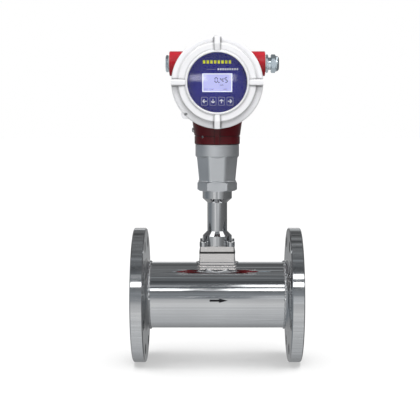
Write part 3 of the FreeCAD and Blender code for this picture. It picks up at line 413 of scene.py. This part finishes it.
def circuit_board():
    """Green solder mask with paler traces and pads."""
    shader = Shader("circuit_board")
    cells = shader.add("ShaderNodeTexVoronoi", feature="DISTANCE_TO_EDGE", distance="MANHATTAN")
    cells.inputs["Scale"].default_value = 260.0
    shader.join(shader.place, cells.inputs["Vector"])
    traces = shader.ramp(cells.outputs["Distance"], (0.05, tone(0.04, 0.24, 0.10)),
                         (0.12, tone(0.015, 0.12, 0.05)))
    shader.colour(traces)
    shader.roughness(shader.spread(shader.noise(90.0), 0.3, 0.45))
    return shader.material


def window_glass():
    """Clear thick glass; its faint green only shows at the rim."""
    shader = Shader("window_glass", Transmission_Weight=1.0, IOR=1.5)
    cloud = shader.noise(8.0, detail=1.0)
    shader.colour(shader.tones(cloud, tone(0.97, 0.99, 0.98), tone(0.99, 1.0, 1.0)))
    shader.roughness(shader.spread(cloud, 0.0, 0.01))
    return shader.material


MATERIALS = {
    "polished_steel": polished_steel(),
    "ground_steel": ground_steel(),
    "flange_steel": flange_steel(),
    "satin_steel": satin_steel(),
    "small_steel": small_steel(),
    "nickel": nickel_plate(),
    # The red enamel's foot tone is painted shade that deepens the housing towards the collar
    "red": enamel("red_enamel", tone(0.38, 0.010, 0.020), tone(0.43, 0.014, 0.026), roughness=0.30,
                  coat=0.35, shine=0.12, foot=tone(0.08, 0.003, 0.006)),
    "white": enamel("white_enamel", tone(0.80, 0.80, 0.82), tone(0.84, 0.84, 0.86), roughness=0.32,
                    coat=0.4),
    "rubber": rubber(),
    "glass": window_glass(),
    "blue": blue_panel(),
    "lcd": glowing("lcd_field", tone(0.50, 0.50, 0.88), 0.30),
    "lcd_edge": glowing("lcd_edge", tone(0.90, 0.92, 1.0), 0.5),
    "ink_dark": printed("ink_dark", tone(0.015, 0.015, 0.05)),
    "ink_black": printed("ink_black", tone(0.008, 0.008, 0.010)),
    "ink_white": printed("ink_white", tone(0.80, 0.80, 0.84)),
    "ink_pale": printed("ink_pale", tone(0.26, 0.27, 0.46)),
    "ink_yellow": printed("ink_yellow", tone(0.95, 0.90, 0.01)),
    "black": plastic("black_plastic", grey(0.012), grey(0.02)),
    "grey_plastic": plastic("grey_plastic", grey(0.20), grey(0.25)),
    "nylon": plastic("white_nylon", grey(0.62), grey(0.70)),
    "board": circuit_board(),
    "sheath": plastic("lead_sheath", grey(0.30), grey(0.36), roughness=0.5),
}

NODE_MATERIALS = {
    "polished_steel": ["meter_tube", "bluff_body", "sensor_probe", "neck_tube", "neck_screws"],
    "ground_steel": ["sensor_block", "neck_plate"],
    "flange_steel": ["inlet_flange", "outlet_flange"],
    "satin_steel": ["lock_nut", "head_adapter"],
    "small_steel": ["collar_lock_screw", "outer_earth_screw", "outer_earth_washer",
                    "inner_earth_screw", "inner_earth_washer", "front_lock_screw", "rear_lock_screw",
                    "board_screws", "terminal_board_screws", "terminal_screws", "glass_ring"],
    "red": ["housing"],
    "white": ["front_cover", "rear_cover"],
    "rubber": ["neck_gasket", "sensor_seal", "swivel_seal", "front_cover_seal", "rear_cover_seal",
               "gland_seal", "window_gasket"],
    "glass": ["window_glass"],
    "nickel": ["blanking_plug", "gland_body", "gland_nut", "lower_standoffs", "upper_standoffs"],
    "nylon": ["plug_washer", "gland_washer", "gland_ring"],
    "blue": ["display_fascia", "key_left", "key_down", "key_up", "key_right"],
    "lcd": ["lcd_module"],
    "black": ["display_carrier", "key_switches", "lead_feedthrough"],
    "grey_plastic": ["terminal_block", "wall_feedthrough"],
    "board": ["display_board", "amplifier_board", "main_board", "terminal_board"],
    "sheath": ["sensor_lead"],
}


def dress_nodes():
    """Gives every CAD node its material."""
    for key, names in NODE_MATERIALS.items():
        for name in names:
            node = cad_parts[name]
            node.data.materials.clear()
            node.data.materials.append(MATERIALS[key])


def make_piece(name, mesh, material, body, smooth=False):
    """A new object from a bmesh, riding on a body."""
    bmesh.ops.recalc_face_normals(mesh, faces=mesh.faces)
    data = bpy.data.meshes.new(name)
    mesh.to_mesh(data)
    mesh.free()
    data.materials.append(MATERIALS[material])
    if smooth:
        data.shade_smooth()
    piece = bpy.data.objects.new(name, data)
    bpy.context.scene.collection.objects.link(piece)
    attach(piece, body)


def add_sheet(mesh, loops, thickness, cuts=()):
    """A flat closed shape of the given thickness: an outer loop of (x, y) points and holes.

    cuts are the heights, along y, at which the shape is sliced so that it can bend there.
    """
    edges = []
    for loop in loops:
        corners = [mesh.verts.new((x, y, 0)) for x, y in loop]
        edges += [mesh.edges.new((corners[number - 1], corner)) for number, corner in enumerate(corners)]
    filled = bmesh.ops.triangle_fill(mesh, use_beauty=True, edges=edges)
    faces = [part for part in filled["geom"] if isinstance(part, bmesh.types.BMFace)]
    for height in cuts:
        around = set()
        for face in faces:
            around.update([face, *face.edges, *face.verts])
        cut = bmesh.ops.bisect_plane(mesh, geom=list(around), dist=CUT_TOLERANCE, plane_co=(0, height, 0),
                                     plane_no=(0, 1, 0))
        faces = [part for part in cut["geom"] if isinstance(part, bmesh.types.BMFace)]
    raised = bmesh.ops.extrude_face_region(mesh, geom=faces)
    for part in raised["geom"]:
        if isinstance(part, bmesh.types.BMVert):
            part.co.z += thickness


def rounded_rectangle(width, height, corner, centre=(0.0, 0.0), steps=5):
    """Points of a rectangle with rounded corners, counter-clockwise."""
    points = []
    for quarter, (sign_x, sign_y) in enumerate([(1, 1), (-1, 1), (-1, -1), (1, -1)]):
        middle_x = centre[0] + sign_x * (width / 2 - corner)
        middle_y = centre[1] + sign_y * (height / 2 - corner)
        for step in range(steps + 1):
            angle = math.radians(90 * quarter + 90 * step / steps)
            points.append((middle_x + corner * math.cos(angle), middle_y + corner * math.sin(angle)))
    return points


def on_panel(mesh, centre, front_y):
    """Turns a flat mesh to face the viewer and puts it at (x, z) from the head's axis."""
    turn = Matrix.Rotation(math.radians(90), 4, "X")
    move = Matrix.Translation((STEM_X + centre[0], front_y, HEAD_Z + centre[1]))
    bmesh.ops.transform(mesh, matrix=move @ turn, verts=mesh.verts)


def arrow_points(size, turn):
    """Plain arrow with a swept-back head, pointing along +X and then turned by degrees."""
    half, shaft, barb = size / 2, size * 0.09, size * 0.13
    neck = half - 3.4 * shaft
    points = [(-half, -shaft), (neck, -shaft), (-shaft, -half + barb), (barb, -half), (half, 0),
              (barb, half), (-shaft, half - barb), (neck, shaft), (-half, shaft)]
    angle = math.radians(turn)
    return [(x * math.cos(angle) - y * math.sin(angle), x * math.sin(angle) + y * math.cos(angle))
            for x, y in points]


def key_prints():
    """Rounded outline and arrow on each of the four keys."""
    width, height = KEY_OUTLINE
    outer = rounded_rectangle(width, height, KEY_CORNERS[0])
    inner = rounded_rectangle(width - 2 * KEY_LINE, height - 2 * KEY_LINE, KEY_CORNERS[1])
    for name, turn in {"key_left": 180, "key_down": 270, "key_up": 90, "key_right": 0}.items():
        low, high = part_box(name)
        centre = ((low.x + high.x) / 2 - STEM_X, (low.z + high.z) / 2 - HEAD_Z)
        outline = bmesh.new()
        add_sheet(outline, [outer, inner], PRINT_RISE)
        on_panel(outline, centre, low.y)
        make_piece(name + "_outline", outline, "ink_pale", name)
        arrow = bmesh.new()
        add_sheet(arrow, [arrow_points(KEY_ARROW, turn)], PRINT_RISE)
        on_panel(arrow, centre, low.y)
        make_piece(name + "_arrow", arrow, "ink_white", name)


# The segments that make up each digit: a at the top, then clockwise to f, with g in the middle
SEGMENTS = {
    "0": "abcdef", "1": "bc", "2": "abged", "3": "abgcd", "4": "fgbc", "5": "afgcd",
    "6": "afgedc", "7": "abc", "8": "abcdefg", "9": "abcdfg",
}


def add_digits(mesh, text, height, left, base, stroke):
    """Seven-segment digits and points, from left to right."""
    width = height * 0.5
    step = width + 2.2 * stroke
    point = 1.3 * stroke
    after_point = 1.2 * stroke
    corner = 0.3 * stroke
    trim = 0.9 * stroke
    bars = {
        "a": (width / 2, height, True), "g": (width / 2, height / 2, True), "d": (width / 2, 0, True),
        "f": (0, height * 0.75, False), "b": (width, height * 0.75, False),
        "e": (0, height * 0.25, False), "c": (width, height * 0.25, False),
    }
    x = left
    for mark in text:
        if mark == ".":
            centre = (x - after_point / 2, base)
            add_sheet(mesh, [rounded_rectangle(point, point, corner, centre)], PRINT_RISE)
            x += after_point
            continue
        for segment in SEGMENTS[mark]:
            middle_x, middle_y, level = bars[segment]
            size = (width - trim, stroke) if level else (stroke, height / 2 - trim)
            centre = (x + middle_x, base + middle_y)
            add_sheet(mesh, [rounded_rectangle(*size, corner, centre, steps=2)], PRINT_RISE)
        x += step


def lcd_prints():
    """Bright border and numbers on the display."""
    width = lcd_high.x - lcd_low.x - 2 * BORDER_INSET
    height = lcd_high.z - lcd_low.z - 2 * BORDER_INSET
    outer = rounded_rectangle(width, height, BORDER_CORNERS[0])
    inner = rounded_rectangle(width - 2 * BORDER_LINE, height - 2 * BORDER_LINE, BORDER_CORNERS[1])
    border = bmesh.new()
    add_sheet(border, [outer, inner], PRINT_RISE)
    on_panel(border, (0, 0), lcd_low.y)
    make_piece("lcd_border", border, "lcd_edge", "head")
    digits = bmesh.new()
    for text, *sizes in READINGS:
        add_digits(digits, text, *(size * MM for size in sizes))
    on_panel(digits, (0, 0), lcd_low.y)
    make_piece("lcd_digits", digits, "ink_dark", "head")


def plain_blocks(name, ink, count, size, pitch, centre):
    """A row of plain printed blocks on the panel, sizes in millimetres."""
    width, height = (side * MM for side in size)
    mesh = bmesh.new()
    for number in range(count):
        x = (number - (count - 1) / 2) * pitch * MM
        add_sheet(mesh, [rounded_rectangle(width, height, BLOCK_CORNER, (x, 0), steps=3)], PRINT_RISE)
    on_panel(mesh, [place * MM for place in centre], FASCIA_Y)
    make_piece(name, mesh, ink, "head")


def panel_prints():
    """The two rows of blocks above the display, and the thin rule beside the lower one."""
    plain_blocks("title_bar", "ink_yellow", count=8, size=(3.7, 5.2), pitch=5.75, centre=(-0.4, 32.2))
    plain_blocks("subtitle_bar", "ink_white", count=9, size=(2.4, 3.0), pitch=3.7, centre=(16.6, 21.0))
    rule = bmesh.new()
    add_sheet(rule, [rounded_rectangle(*RULE_SIZE, RULE_CORNER)], PRINT_RISE)
    on_panel(rule, RULE_PLACE, FASCIA_Y)
    make_piece("subtitle_rule", rule, "ink_pale", "head")


def flow_arrow():
    """Black arrow printed on the front of the pipe, pointing along the flow."""
    low, high = FLOW_ARROW_ENDS
    neck, shaft, head = FLOW_ARROW_NECK, FLOW_ARROW_SHAFT, FLOW_ARROW_HEAD
    points = [(low, -shaft), (neck, -shaft), (neck, -head), (high, 0), (neck, head), (neck, shaft),
              (low, shaft)]
    cuts = [shaft * part / 3 for part in range(-6, 7)]
    mesh = bmesh.new()
    add_sheet(mesh, [points], PRINT_RISE, cuts)
    for corner in mesh.verts:
        angle = (corner.co.y + FLOW_ARROW_HEIGHT) / PIPE_RADIUS
        radius = PIPE_RADIUS + corner.co.z
        corner.co = Vector((STEM_X + corner.co.x, -radius * math.cos(angle), radius * math.sin(angle)))
    make_piece("flow_arrow", mesh, "ink_black", "meter_body")


def add_tube(mesh, centres, radii, sides=10):
    """A closed tube along a loop of points, with a radius at each."""
    middle = sum(centres, Vector()) / len(centres)
    rings = []
    for number, centre in enumerate(centres):
        forward = (centres[(number + 1) % len(centres)] - centres[number - 1]).normalized()
        outward = centre - middle
        outward = (outward - forward * outward.dot(forward)).normalized()
        across = forward.cross(outward)
        ring = []
        for step in range(sides):
            angle = 2 * math.pi * step / sides
            offset = outward * math.cos(angle) + across * math.sin(angle)
            ring.append(mesh.verts.new(centre + offset * radii[number]))
        rings.append(ring)
    for number, second in enumerate(rings):
        first = rings[number - 1]
        for step in range(sides):
            mesh.faces.new((first[step - 1], first[step], second[step], second[step - 1]))


def foot_bead():
    """The weld where the block's round foot meets the pipe."""
    centres = []
    for step in range(FOOT_STEPS):
        angle = 2 * math.pi * step / FOOT_STEPS
        x, y = FOOT_RADIUS * math.cos(angle), FOOT_RADIUS * math.sin(angle)
        centres.append(Vector((STEM_X + x, y, math.sqrt(PIPE_RADIUS ** 2 - y ** 2))))
    mesh = bmesh.new()
    add_tube(mesh, centres, [FOOT_BEAD] * FOOT_STEPS)
    make_piece("foot_bead", mesh, "polished_steel", "meter_body", smooth=True)


def flange_beads():
    """Rippled weld round the pipe inside each flange."""
    steps = RIPPLES * RIPPLE_STEPS
    reach = PIPE_RADIUS + FLANGE_BEAD_REACH
    places = {"inlet_bead": flange_high.x, "outlet_bead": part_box("outlet_flange")[0].x}
    for name, place in places.items():
        centres = []
        radii = []
        for step in range(steps):
            angle = 2 * math.pi * step / steps
            centres.append(Vector((place, -reach * math.cos(angle), reach * math.sin(angle))))
            radii.append(FLANGE_BEAD + RIPPLE * math.cos(RIPPLES * angle))
        mesh = bmesh.new()
        add_tube(mesh, centres, radii)
        make_piece(name, mesh, "polished_steel", "meter_body", smooth=True)


class Sky(NodeTree):
    """The world's colour as a function of direction.

    In degrees, roll goes from straight in front up over the top to the back, side goes from straight in
    front to the right, and height is the angle over the horizon.
    """

    def __init__(self):
        world = bpy.data.worlds.new("studio")
        bpy.context.scene.world = world
        world.use_nodes = True
        super().__init__(world.node_tree)
        self.background = self.nodes["Background"]
        self.path = self.add("ShaderNodeLightPath").outputs
        separate = self.add("ShaderNodeSeparateXYZ")
        self.join(self.add("ShaderNodeTexCoord").outputs["Generated"], separate.inputs["Vector"])
        self.x, y, self.z = separate.outputs
        self.front = self.product(y, -1.0)
        self.roll = self.degrees(self.math("ARCTAN2", self.z, self.front))
        self.side = self.degrees(self.math("ARCTAN2", self.x, self.front))
        self.left = self.product(self.side, -1.0)
        self.height = self.degrees(self.math("ARCSINE", self.z))

    def degrees(self, angle):
        """The angle in degrees, from radians."""
        return self.product(angle, 180 / math.pi)

    def weighted(self, front, up):
        """How far a direction points towards the mix of front and up."""
        return self.total(self.product(self.front, front), self.product(self.z, up))

    def smooth(self, source, low, high):
        """0 below low and 1 above high, with soft ends."""
        return self.remap(source, low, high, smooth=True)

    def band(self, source, limits, soft):
        """1 between two limits, with soft edges."""
        low, high = limits
        above = self.smooth(source, low - soft, low + soft)
        below = self.math("SUBTRACT", 1.0, self.smooth(source, high - soft, high + soft))
        return self.product(above, below)

    def profile(self, angle, stops):
        """Colour along an angle of -180 to 180 degrees, through (angle, level, blueness) stops."""
        turn = self.math("MULTIPLY_ADD", angle, 1 / 360, 0.5)
        colours = [(degrees / 360 + 0.5, tone(level * (1 - blue), level, level * (1 + blue)))
                   for degrees, level, blue in stops]
        return self.ramp(turn, *colours)

    def streaks(self, source, scale, low, high):
        """Irregular bands along an angle, between two levels."""
        noise = self.add("ShaderNodeTexNoise", noise_dimensions="1D")
        noise.inputs["Scale"].default_value = scale
        noise.inputs["Detail"].default_value = 3.0
        self.join(source, noise.inputs["W"])
        return self.grey(self.remap(noise.outputs["Fac"], *STREAK_NOISE, low, high))

    def grey(self, level):
        """A colour whose three parts are the level."""
        combine = self.add("ShaderNodeCombineColor")
        for channel in combine.inputs:
            self.join(level, channel)
        return combine.outputs["Color"]


# The mirrored room's tones, as (angle, level, blueness): along roll near the middle, and along side for
# what faces away from it
MIDDLE_TONES = [
    (-180, 0.28, 0.02), (-140, 0.31, 0.02), (-100, 0.56, 0.02), (-40, 0.72, 0.01), (-23, 0.80, 0.0),
    (-8, 0.58, 0.01), (-1, 0.36, 0.05), (5, 0.27, 0.06), (12, 0.32, 0.06), (22, 0.11, 0.07),
    (35, 0.16, 0.09), (50, 0.13, 0.06), (55, 0.08, 0.06), (66, 0.17, 0.05), (85, 0.21, 0.03),
    (125, 0.18, 0.02), (146, 0.11, 0.02), (158, 0.46, 0.02), (179, 0.66, 0.0),
]
AROUND_TONES = [
    (-180, 0.36, 0.0), (-137, 0.33, 0.02), (-110, 0.28, 0.07), (-90, 0.23, 0.09), (-72, 0.30, 0.07),
    (-50, 0.48, 0.03), (-36, 0.54, 0.02), (-26, 0.80, 0.0), (-14, 0.78, 0.01), (-4, 0.50, 0.02),
    (5, 0.70, 0.0), (14, 0.42, 0.03), (25, 0.27, 0.03), (50, 0.19, 0.02), (90, 0.155, 0.02),
    (137, 0.14, 0.02), (179, 0.34, 0.0),
]
CEILING_TONE = tone(0.13, 0.13, 0.135)

# Where the ceiling starts in degrees of height, and where the middle ends in shares of x
CEILING_EDGE = (6.0, 22.0)
MIDDLE_EDGE = (0.075, 0.17)

# The streaks: the noise's range, how they slant, and the roll at which they grow coarse
STREAK_NOISE = (0.25, 0.75)
STREAK_SLANT = 0.12
COARSE_EDGE = (44.0, 60.0)

# Soft boxes, as bands of roll and side in degrees, and how bright each is. The overhead ones are bands
# of lean, which is x over z, and z is held above LEAST_RISE there
LOW_BOX = (22.8, 29.8)
LOW_BOX_LEFT_END = (1.3, 2.4)
LOW_BOX_RIGHT_END = (0.2, 0.9)
HIGH_BOX = (36.4, 43.4)
HIGH_BOX_END = (1.5, 2.3)
BOX_SIDES = (-52.0, 48.0)
BOX_LEVEL = 3.2
GLOW_END = (0.4, 3.0)
GLOW_LEVEL = 0.24
OVERHEAD_LEAN = (0.24, 0.62)
OVERHEAD_EDGE = (44.0, 50.0)
OVERHEAD_LEVEL = 1.9
LEAST_RISE = 0.01
RIGHT_ROLL = (-6.0, 7.0)
RIGHT_END = (1.7, 2.2)
RIGHT_LEVEL = 0.30
STRIP_ROLL = (1.60, 1.94)
LEFT_STRIP = (-1.45, -0.6)
RIGHT_STRIP = (0.68, 0.95)
STRIP_LEVEL = 6.0

# The patch that the window mirrors to the camera, and what it takes off the reflection and the light
# that passes the glass
WINDOW_ROLL = (-5.0, 4.0)
WINDOW_SIDE = (-1.6, 1.75)
WINDOW_LEVEL = -0.12
WINDOW_INSIDE = -0.6

# The lamps that light matte surfaces, and what more passes through the glass
UPPER_TILT = math.radians(60)
UPPER_EDGE = (0.80, 0.98)
UPPER_LEVEL = 3.7
LOWER_DROP = -0.55
LOWER_EDGE = (0.80, 1.10)
LOWER_LEVEL = 1.5
FILL_BACK = -0.3
FILL_EDGE = (-0.1, 0.6)
FILL_LEVELS = (0.12, 1.02)
GLASS_GAIN = 0.45


def room(sky):
    """The grey room that mirrors show: streaky, with a dark ceiling."""
    middle = sky.profile(sky.roll, MIDDLE_TONES)
    around = sky.profile(sky.side, AROUND_TONES)
    around = sky.mix(sky.smooth(sky.height, *CEILING_EDGE), around, CEILING_TONE)
    off_centre = sky.smooth(sky.math("ABSOLUTE", sky.x), *MIDDLE_EDGE)
    base = sky.mix(off_centre, middle, around)
    slant = sky.math("MULTIPLY_ADD", sky.side, STREAK_SLANT, sky.roll)
    fine = sky.streaks(slant, scale=0.42, low=0.72, high=1.28)
    base = sky.mix(1.0, base, fine, "MULTIPLY")
    coarse = sky.streaks(slant, scale=0.11, low=0.35, high=1.75)
    broken = sky.mix(1.0, base, coarse, "MULTIPLY")
    return sky.mix(sky.smooth(sky.roll, *COARSE_EDGE), base, broken)


def soft_boxes(sky, window):
    """The light of the soft boxes that mirrors and glass show."""
    low_ends = sky.total(sky.smooth(sky.left, *LOW_BOX_LEFT_END), sky.smooth(sky.side, *LOW_BOX_RIGHT_END))
    low_box = sky.product(sky.band(sky.roll, LOW_BOX, soft=0.8), low_ends)
    high_band = sky.band(sky.roll, HIGH_BOX, soft=1.0)
    high_box = sky.product(high_band, sky.smooth(sky.side, *HIGH_BOX_END))
    boxes = sky.product(sky.total(low_box, high_box), sky.band(sky.side, BOX_SIDES, soft=3.0))
    glow = sky.product(high_band, sky.smooth(sky.left, *GLOW_END))
    lean = sky.math("ABSOLUTE", sky.math("DIVIDE", sky.x, sky.math("MAXIMUM", sky.z, LEAST_RISE)))
    overhead = sky.band(lean, OVERHEAD_LEAN, soft=0.04)
    overhead = sky.product(overhead, sky.smooth(sky.height, *OVERHEAD_EDGE))
    right = sky.product(sky.band(sky.roll, RIGHT_ROLL, soft=1.5), sky.smooth(sky.side, *RIGHT_END))
    strips = sky.total(*(sky.band(sky.side, strip, soft=0.2) for strip in (LEFT_STRIP, RIGHT_STRIP)))
    strips = sky.product(strips, sky.band(sky.roll, STRIP_ROLL, soft=0.10))
    return sky.total(sky.product(boxes, BOX_LEVEL), sky.product(glow, GLOW_LEVEL),
                     sky.product(overhead, OVERHEAD_LEVEL), sky.product(window, WINDOW_LEVEL),
                     sky.product(strips, STRIP_LEVEL), sky.product(right, RIGHT_LEVEL))


def lamps(sky, window):
    """The light on matte surfaces: a lamp above, a lower one in front, and a fill that grows upwards."""
    upper = sky.smooth(sky.weighted(math.cos(UPPER_TILT), math.sin(UPPER_TILT)), *UPPER_EDGE)
    lower = sky.smooth(sky.weighted(1.0, LOWER_DROP), *LOWER_EDGE)
    fill = sky.remap(sky.weighted(FILL_BACK, 1.0), *FILL_EDGE, *FILL_LEVELS, smooth=True)
    light = sky.total(sky.product(upper, UPPER_LEVEL), sky.product(lower, LOWER_LEVEL), fill)
    gain = sky.math("MULTIPLY_ADD", window, WINDOW_INSIDE, GLASS_GAIN)
    through_glass = sky.path["Is Transmission Ray"]
    return sky.product(light, sky.math("MULTIPLY_ADD", through_glass, gain, 1.0))


def studio():
    """A product studio: mirrors show the room, matte surfaces get the lamps, and the camera sees white."""
    sky = Sky()
    window = sky.band(sky.roll, WINDOW_ROLL, soft=1.5)
    window = sky.product(window, sky.band(sky.side, WINDOW_SIDE, soft=0.3))
    mirrored = sky.mix(1.0, room(sky), sky.grey(soft_boxes(sky, window)), "ADD")
    inside = sky.math("MAXIMUM", sky.path["Is Diffuse Ray"], sky.path["Is Transmission Ray"])
    lit = sky.mix(inside, mirrored, sky.grey(lamps(sky, window)))
    seen = sky.mix(sky.path["Is Camera Ray"], lit, grey(1.0))
    sky.join(seen, sky.background.inputs["Color"])


FLOOR_REACH = 14.0
FLOOR_TONE = 0.14
FLOOR_GLOW = 0.87
SHADOW_REACH = 200 * MM

# How bright the floor is where it lies open by 0.38, 0.47 and so on
FLOOR_SHADES = {0.38: 0.54, 0.47: 0.64, 0.53: 0.81, 0.61: 0.90, 0.74: 0.955, 0.90: 1.0}


def floor():
    """Pale floor that only the camera sees, with the soft shadow of what stands on it."""
    mesh = bmesh.new()
    corners = [mesh.verts.new((sign_x * FLOOR_REACH, sign_y * FLOOR_REACH, FLOOR_Z))
               for sign_x, sign_y in [(-1, -1), (1, -1), (1, 1), (-1, 1)]]
    mesh.faces.new(corners)
    data = bpy.data.meshes.new("floor")
    mesh.to_mesh(data)
    mesh.free()
    plane = bpy.data.objects.new("floor", data)
    bpy.context.scene.collection.objects.link(plane)
    shader = Shader("floor_paper", Roughness=1.0, Base_Color=grey(FLOOR_TONE), Specular_IOR_Level=0.0,
                    Emission_Strength=FLOOR_GLOW)
    shades = [(open_air, grey(level)) for open_air, level in FLOOR_SHADES.items()]
    glow = shader.ramp(shader.openness(SHADOW_REACH, samples=16), *shades)
    shader.join(glow, shader.surface.inputs["Emission Color"])
    path = shader.add("ShaderNodeLightPath")
    clear = shader.add("ShaderNodeBsdfTransparent")
    choice = shader.add("ShaderNodeMixShader")
    shader.join(path.outputs["Is Camera Ray"], choice.inputs["Fac"])
    shader.join(clear.outputs["BSDF"], choice.inputs[1])
    shader.join(shader.surface.outputs["BSDF"], choice.inputs[2])
    shader.join(choice.outputs["Shader"], shader.nodes["Material Output"].inputs["Surface"])
    data.materials.append(shader.material)


def camera():
    """The photograph's camera, level from side to side, with its lens shifted to the picture's centre."""
    data = bpy.data.cameras.new("camera")
    view = bpy.data.objects.new("camera", data)
    bpy.context.scene.collection.objects.link(view)
    data.sensor_width = SENSOR
    data.lens = FOCAL_PIXELS * SENSOR / PHOTO_SIZE
    data.shift_x = (PHOTO_SIZE / 2 - CENTRE_PIXEL[0]) / PHOTO_SIZE
    data.shift_y = (CENTRE_PIXEL[1] - PHOTO_SIZE / 2) / PHOTO_SIZE
    data.clip_end = FARTHEST
    view.location = (STEM_X, -CAMERA_DISTANCE, CAMERA_HEIGHT)
    view.rotation_euler = (math.radians(90) - CAMERA_DIP, 0, 0)
    bpy.context.scene.camera = view


dress_nodes()
key_prints()
lcd_prints()
panel_prints()
flow_arrow()
foot_bead()
flange_beads()
studio()
floor()
camera()

bpy.context.scene.view_settings.view_transform = "Standard"
